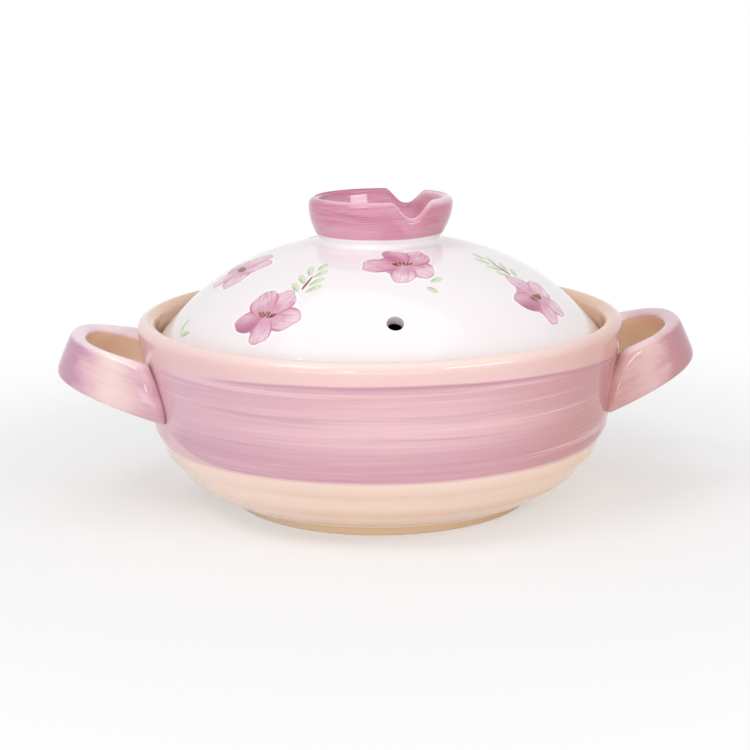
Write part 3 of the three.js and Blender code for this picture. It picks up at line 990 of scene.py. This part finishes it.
def handle_glaze(piece, name, side_shade, load, line, deep, reach):
    """A strap's glaze: its side shade, a warm tint painted off the bend as shade that also dims the
    pale edge, how full the brush was, the strength of the line at the seam, the deep colour of the
    bend, and where along the strap that starts and is full."""
    glaze = Glaze(name)
    along, edge = glaze.attribute("along"), glaze.attribute("edge")
    slant = glaze.math("ADD", along, glaze.scaled(edge, 0.035))
    cloud = glaze.noise(glaze.vector(glaze.scaled(slant, 9), glaze.scaled(edge, 1.3), 0.0), 1, 4)
    stroke = glaze.noise(glaze.vector(glaze.scaled(slant, 5), glaze.scaled(edge, 7), 5.0), 1, 3)
    brush = glaze.blend(cloud, 0.75, stroke)
    from_bend = glaze.math("ABSOLUTE", glaze.scaled(along, 1, -0.5))
    bend = glaze.fade(from_bend, *reach)
    seam_side = glaze.scaled(glaze.fade(from_bend, 0.3, 0.46), 0.55)
    laid = glaze.math("ADD", glaze.math("MAXIMUM", bend, seam_side), glaze.scaled(brush, 1.5, load))
    painted = glaze.ramp(laid, [
        (0.0, BROKEN_CREAM), (0.3, THIN_PINK), (0.6, FULL_PINK), (1.0, deep),
    ])
    # Painted shade: a warm tint off the bend, set by side_shade, which also dims the pale edge
    # below.
    off_bend = glaze.scaled(bend, -0.85, 1)
    painted = glaze.tint(painted, off_bend, side_shade, SHADE_WARM_WASH)
    pale = glaze.product(glaze.fade(edge, 0.72, 0.95), glaze.scaled(brush, -0.6, 1.25))
    painted = glaze.tint(painted, pale, 0.85 - 0.7 * side_shade, PALE_EDGE)
    under_rim = glaze.fade(edge, 0.92, 0.8)
    inner = glaze.product(glaze.fade(glaze.attribute("face"), -0.35, -0.6), under_rim)
    bare = glaze.noise(glaze.place(), 60, 3)
    clay = glaze.mix(bare, BARE_TAN, BARE_CREAM)
    colour = glaze.mix(inner, painted, clay)
    seam = glaze.fade(glaze.attribute("wall_gap"), *SEAM_REACH)
    colour = glaze.tint(colour, seam, line, SEAM_MAUVE)
    glaze.bump(glaze.noise(glaze.place(), 70, 2), 0.16)
    glaze.finish(piece, colour, glaze.scaled(brush, 0.05, 0.08))


# The right handle's side shade is painted shade of the right side.
handle_glaze(
    right_handle, "right_handle_glaze", side_shade=0.5, load=-0.44, line=0.22,
    deep=paint(194, 134, 144), reach=(0.39, 0.19),
)
handle_glaze(
    left_handle, "left_handle_glaze", side_shade=0.0, load=-0.66, line=0.85,
    deep=paint(203, 151, 175), reach=(0.37, 0.13),
)

# %% [markdown]
# The lid's and the knob's glaze
#
# The lid is white glaze, a touch warm, cream inside, and bare clay where its edge stands on the
# step. The knob is rose, laid on with a wide brush while the lid turned, so its streaks are level
# and fine; it is paler towards the bottom. It stops short of the neck. Along the lip a white line
# is painted where the glaze breaks, which also serves as the lip's highlight. The front of the lip
# has a paler tint as a painted highlight and the right flank one as a painted reflection, the far
# side of the lip is painted deep as its shade, and the right of the ring warmer and darker as
# shade.

# %% Lid glaze
BARE_RIM = (77.6, 76.9)
SOFT_WHITE, CLEAR_WHITE = paint(246, 239, 242), paint(250, 244, 246)
LID_INSIDE, LID_CLAY = paint(240, 226, 214), paint(216, 172, 140)


def lid_glaze(piece):
    """White outside, cream inside and bare where the edge stands on the step."""
    glaze = Glaze("lid_glaze")
    cloud = glaze.noise(glaze.place(), 22, 3)
    white = glaze.mix(cloud, SOFT_WHITE, CLEAR_WHITE)
    white = glaze.mix(glaze.attribute("inside"), white, LID_INSIDE)
    bare = glaze.fade(glaze.height(), *BARE_RIM)
    colour = glaze.mix(bare, white, LID_CLAY)
    glaze.bump(glaze.noise(glaze.place(), 30, 2), 0.08)
    glaze.finish(piece, colour, glaze.scaled(bare, 0.55, 0.04))


lid_glaze(lid)


# %% Knob glaze
ROSE_FROM, ROSE_POOL, ROSE_PALES_DOWN = (132.6, 133.4), (135.4, 133.6), (143, 135)
FAR_SIDE, FRONT_SIDE = (0.004, 0.016), (-0.012, -0.026)
RIGHT_TURN, RIGHT_FLANK = (0.004, 0.034), (0.017, 0.026)
NECK_WHITE, BREAK_AND_HIGHLIGHT_WHITE = paint(250, 245, 246), paint(252, 236, 241)
LIP_HIGHLIGHT_PINK, FLANK_REFLECTION_PINK = paint(246, 214, 226), paint(246, 218, 230)
LOWER_PALE_ROSE, CUP_ROSE, KNOB_SHADE_ROSE = [
    paint(236, 182, 200), paint(232, 172, 194), paint(203, 127, 139)
]
POOLED_ROSE, FAR_SHADE_ROSE = paint(204, 114, 148), paint(186, 98, 136)


def knob_glaze(piece):
    """Streaked rose over a white neck, with painted light and shade on its lip and on its right."""
    glaze = Glaze("knob_glaze")
    long_streak = glaze.noise(glaze.turned(0.8, 380), 1, 2)
    fine_streak = glaze.noise(glaze.turned(2.0, 3400), 1, 2)
    streak = glaze.blend(long_streak, 0.25, fine_streak)
    rose = glaze.ramp(streak, [
        (0.32, paint(196, 112, 146)), (0.44, paint(209, 136, 163)), (0.55, paint(217, 150, 174)),
        (0.68, paint(229, 174, 193)),
    ])
    height = glaze.math("ADD", glaze.height(), glaze.scaled(long_streak, 1.6, -0.8))
    # Paler towards the bottom of the ring.
    rose = glaze.tint(rose, glaze.fade(height, *ROSE_PALES_DOWN), 0.45, LOWER_PALE_ROSE)
    rose = glaze.tint(rose, glaze.fade(height, *ROSE_POOL), 0.15, POOLED_ROSE)
    side = glaze.attribute("inside")
    rose = glaze.tint(rose, side, 0.25, CUP_ROSE)
    across, depth, _ = glaze.parts(glaze.place())
    lip = glaze.attribute("lip")
    # Painted shade: the far side of the lip deep rose.
    shaded_far_lip = glaze.product(lip, glaze.fade(depth, *FAR_SIDE))
    rose = glaze.tint(rose, shaded_far_lip, 0.55, FAR_SHADE_ROSE)
    # Painted highlight: a paler tint on the front of the lip.
    front_lip_highlight = glaze.product(glaze.fade(lip, 0.7, 0.95), glaze.fade(depth, *FRONT_SIDE))
    rose = glaze.tint(rose, front_lip_highlight, 0.35, LIP_HIGHLIGHT_PINK)
    # Painted shade: the right of the ring warmer and darker.
    rose = glaze.tint(rose, glaze.fade(across, *RIGHT_TURN), 0.6, KNOB_SHADE_ROSE)
    # Painted reflection: a pale tint on the right flank of the lip.
    flank_reflection = glaze.product(lip, glaze.fade(across, *RIGHT_FLANK))
    rose = glaze.tint(rose, flank_reflection, 0.8, FLANK_REFLECTION_PINK)
    # A white line along the lip's edge, where the glaze breaks and as a painted highlight.
    edge = glaze.product(glaze.fade(side, 0.1, 0.5), glaze.fade(side, 0.9, 0.5))
    rose = glaze.tint(rose, edge, 0.75, BREAK_AND_HIGHLIGHT_WHITE)
    colour = glaze.mix(glaze.fade(height, *ROSE_FROM), NECK_WHITE, rose)
    glaze.bump(glaze.blend(glaze.noise(glaze.place(), 50, 2), 0.85, streak), 0.08)
    glaze.finish(piece, colour, glaze.scaled(streak, 0.04, 0.02))


knob_glaze(knob)


# %% [markdown]
# The painted strokes
#
# Petals are thin washes: fine streaks fan from the centre, pigment gathers along the sides, at the
# tip and in the heart, and one petal in each blossom is darker. Leaves are two greens in one
# stroke. A white line round each blossom is the bare glaze that the brush left.

# %% Petal glaze
STREAK_DARK, STREAK_MIDDLE, STREAK_LIGHT = [
    paint(214, 156, 181), paint(236, 199, 214), paint(246, 222, 232)
]
FULL_BRUSH, HEAVY_BRUSH = paint(210, 138, 168), paint(174, 84, 124)
HEART_PINK, SIDE_PINK, TIP_PINK = [
    paint(208, 132, 162), paint(204, 122, 158), paint(208, 136, 166)
]


def petal_glaze(piece):
    """Washes along the petal's own UV map, where V runs from the heart to the tip."""
    glaze = Glaze("petal_glaze")
    across, along, _ = glaze.parts(glaze.node("UVMap").outputs[0])
    pigment = glaze.attribute("tone")
    fine, long = glaze.scaled(across, 14), glaze.scaled(along, 1.4)
    fan = glaze.vector(fine, long, glaze.scaled(pigment, 40))
    streak = glaze.blend(glaze.noise(fan, 1, 4), 0.6, glaze.noise(glaze.place(), 190, 3))
    body = glaze.ramp(streak, [(0.36, STREAK_DARK), (0.50, STREAK_MIDDLE), (0.62, STREAK_LIGHT)])
    body = glaze.tint(body, pigment, 0.62, FULL_BRUSH)
    heavy = glaze.product(glaze.fade(pigment, 0.5, 0.8), glaze.fade(across, 0.25, 0.8))
    body = glaze.tint(body, heavy, 0.85, HEAVY_BRUSH)
    body = glaze.tint(body, glaze.fade(along, 0.72, 0.2), 0.6, HEART_PINK)
    side = glaze.math("MINIMUM", across, glaze.scaled(across, -1, 1))
    gathered = glaze.product(glaze.fade(side, 0.12, 0.04), glaze.fade(along, 0.92, 0.7))
    body = glaze.tint(body, gathered, 0.85, SIDE_PINK)
    body = glaze.tint(body, glaze.fade(along, 0.93, 0.99), 0.5, TIP_PINK)
    glaze.finish(piece, body, glaze.scaled(streak, 0.05, 0.03))


petal_glaze(blossom_petals)


# %% Leaf and line glazes
LEAF_GREEN, LEAF_PALE = paint(207, 224, 194), paint(225, 233, 208)
LEAF_SHADE, LEAF_TIP = paint(148, 189, 142), paint(200, 218, 160)


def leaf_glaze(piece):
    """Pale green with a darker side and a yellower tip."""
    glaze = Glaze("leaf_glaze")
    across, along, _ = glaze.parts(glaze.node("UVMap").outputs[0])
    wash = glaze.noise(glaze.place(), 260, 3)
    light = glaze.mix(wash, LEAF_GREEN, LEAF_PALE)
    dark = glaze.product(glaze.fade(across, 0.45, 0.85), glaze.fade(along, 0.95, 0.3))
    colour = glaze.tint(light, dark, 0.85, LEAF_SHADE)
    colour = glaze.tint(colour, glaze.fade(along, 0.75, 1), 0.35, LEAF_TIP)
    glaze.finish(piece, colour, glaze.scaled(wash, 0.05, 0.04))


def line_glaze(piece, name, light, dark):
    """A fine wash of two colours for thin strokes."""
    glaze = Glaze(name)
    wash = glaze.noise(glaze.place(), 700, 3)
    colour = glaze.mix(glaze.fade(wash, 0.35, 0.65), light, dark)
    glaze.finish(piece, colour, glaze.scaled(wash, 0.05, 0.04))


leaf_glaze(sprig_leaves)
line_glaze(blossom_outlines, "outline_glaze", paint(254, 253, 253), paint(252, 249, 250))
line_glaze(blossom_hearts, "heart_glaze", paint(226, 172, 194), paint(212, 144, 172))
line_glaze(blossom_stamens, "stamen_glaze", paint(168, 106, 52), paint(104, 50, 24))
line_glaze(sprig_stems, "stem_glaze", paint(166, 88, 62), paint(126, 50, 34))

# %% [markdown]
# Floor and light
#
# The floor and the air round it are white. The main light is a wide soft box overhead, which the
# glossy lid mirrors, so the knob shows in it as a darker shape. A box from the left gives the
# glints on rims, a small one in front gives the one at the left handle's root, a low wide one
# fills the belly's underside, and a narrow one to the right shows as a window inside the ring. The
# floor shows the eye its own white far out and keeps the shadow near the pot.

# %% Floor
FLOOR_SIZE = 6
SHADOW_REACH = (0.14, 0.42)
SHADOW_SHARE = 0.55
FLOOR_WHITE = (0.95, 0.95, 0.95, 1)
floor_mesh = bmesh.new()
bmesh.ops.create_grid(floor_mesh, x_segments=1, y_segments=1, size=FLOOR_SIZE)
floor_data = bpy.data.meshes.new("floor")
floor_mesh.to_mesh(floor_data)
floor_mesh.free()
floor = bpy.data.objects.new("floor", floor_data)
bpy.context.scene.collection.objects.link(floor)

floor_look = Glaze("floor_white")
path = floor_look.node("LightPath").outputs
eye = floor_look.math("MAXIMUM", path["Is Camera Ray"], path["Is Glossy Ray"])
reach = floor_look.node("VectorMath", {0: floor_look.place()}, operation="LENGTH").outputs["Value"]
far = floor_look.scaled(floor_look.fade(reach, *SHADOW_REACH), SHADOW_SHARE, 1 - SHADOW_SHARE)
shade = floor_look.node("BsdfDiffuse", {"Color": FLOOR_WHITE}).outputs[0]
white = floor_look.node("Emission").outputs[0]
blend = floor_look.node("MixShader", {0: floor_look.product(eye, far), 1: shade, 2: white})
target = floor_look.tree.nodes["Material Output"]
floor_look.feed(target.inputs["Surface"], blend.outputs[0])
floor_look.tree.nodes.remove(floor_look.shader)
floor_data.materials.append(floor_look.material)
print("floor:", 2 * FLOOR_SIZE, "m square")

# %% Air
AIR_LIGHT = 0.42
world = bpy.data.worlds.new("white_air")
world.use_nodes = True
bpy.context.scene.world = world
tree = world.node_tree
tree.nodes.clear()
path = tree.nodes.new("ShaderNodeLightPath")
direct = path.outputs["Is Camera Ray"]
for name in ("Is Glossy Ray", "Is Transmission Ray"):
    join = tree.nodes.new("ShaderNodeMath")
    join.operation = "MAXIMUM"
    tree.links.new(direct, join.inputs[0])
    tree.links.new(path.outputs[name], join.inputs[1])
    direct = join.outputs[0]
strength = tree.nodes.new("ShaderNodeMapRange")
strength.inputs["To Min"].default_value = AIR_LIGHT
tree.links.new(direct, strength.inputs["Value"])
air = tree.nodes.new("ShaderNodeBackground")
air.inputs["Color"].default_value = (1, 1, 1, 1)
tree.links.new(strength.outputs[0], air.inputs["Strength"])
target = tree.nodes.new("ShaderNodeOutputWorld")
tree.links.new(air.outputs[0], target.inputs["Surface"])
print("air light:", AIR_LIGHT)

# %% Lamps
POT_MIDDLE = Vector((0, 0, 0.08))


def softbox(name, place, size, watts):
    """A soft rectangular lamp that faces the pot's middle."""
    lamp = bpy.data.lights.new(name, "AREA")
    lamp.shape = "RECTANGLE"
    lamp.size, lamp.size_y = size
    lamp.energy = watts
    box = bpy.data.objects.new(name, lamp)
    turn = (POT_MIDDLE - Vector(place)).to_track_quat("-Z", "Y").to_matrix().to_4x4()
    box.matrix_world = Matrix.Translation(place) @ turn
    bpy.context.scene.collection.objects.link(box)


softbox("overhead", (-0.15, -0.2, 1.3), (1.3, 1.3), 4.0)
softbox("left", (-0.78, -0.62, 1.32), (0.6, 0.5), 4.4)
softbox("front", (-0.5, -1.38, 0.62), (0.24, 0.24), 1.5)
softbox("low_front", (-0.3, -1.3, 0.16), (1.6, 0.28), 2.9)
softbox("ring_window", (0.83, -0.88, 0.84), (0.8, 0.2), 3.8)
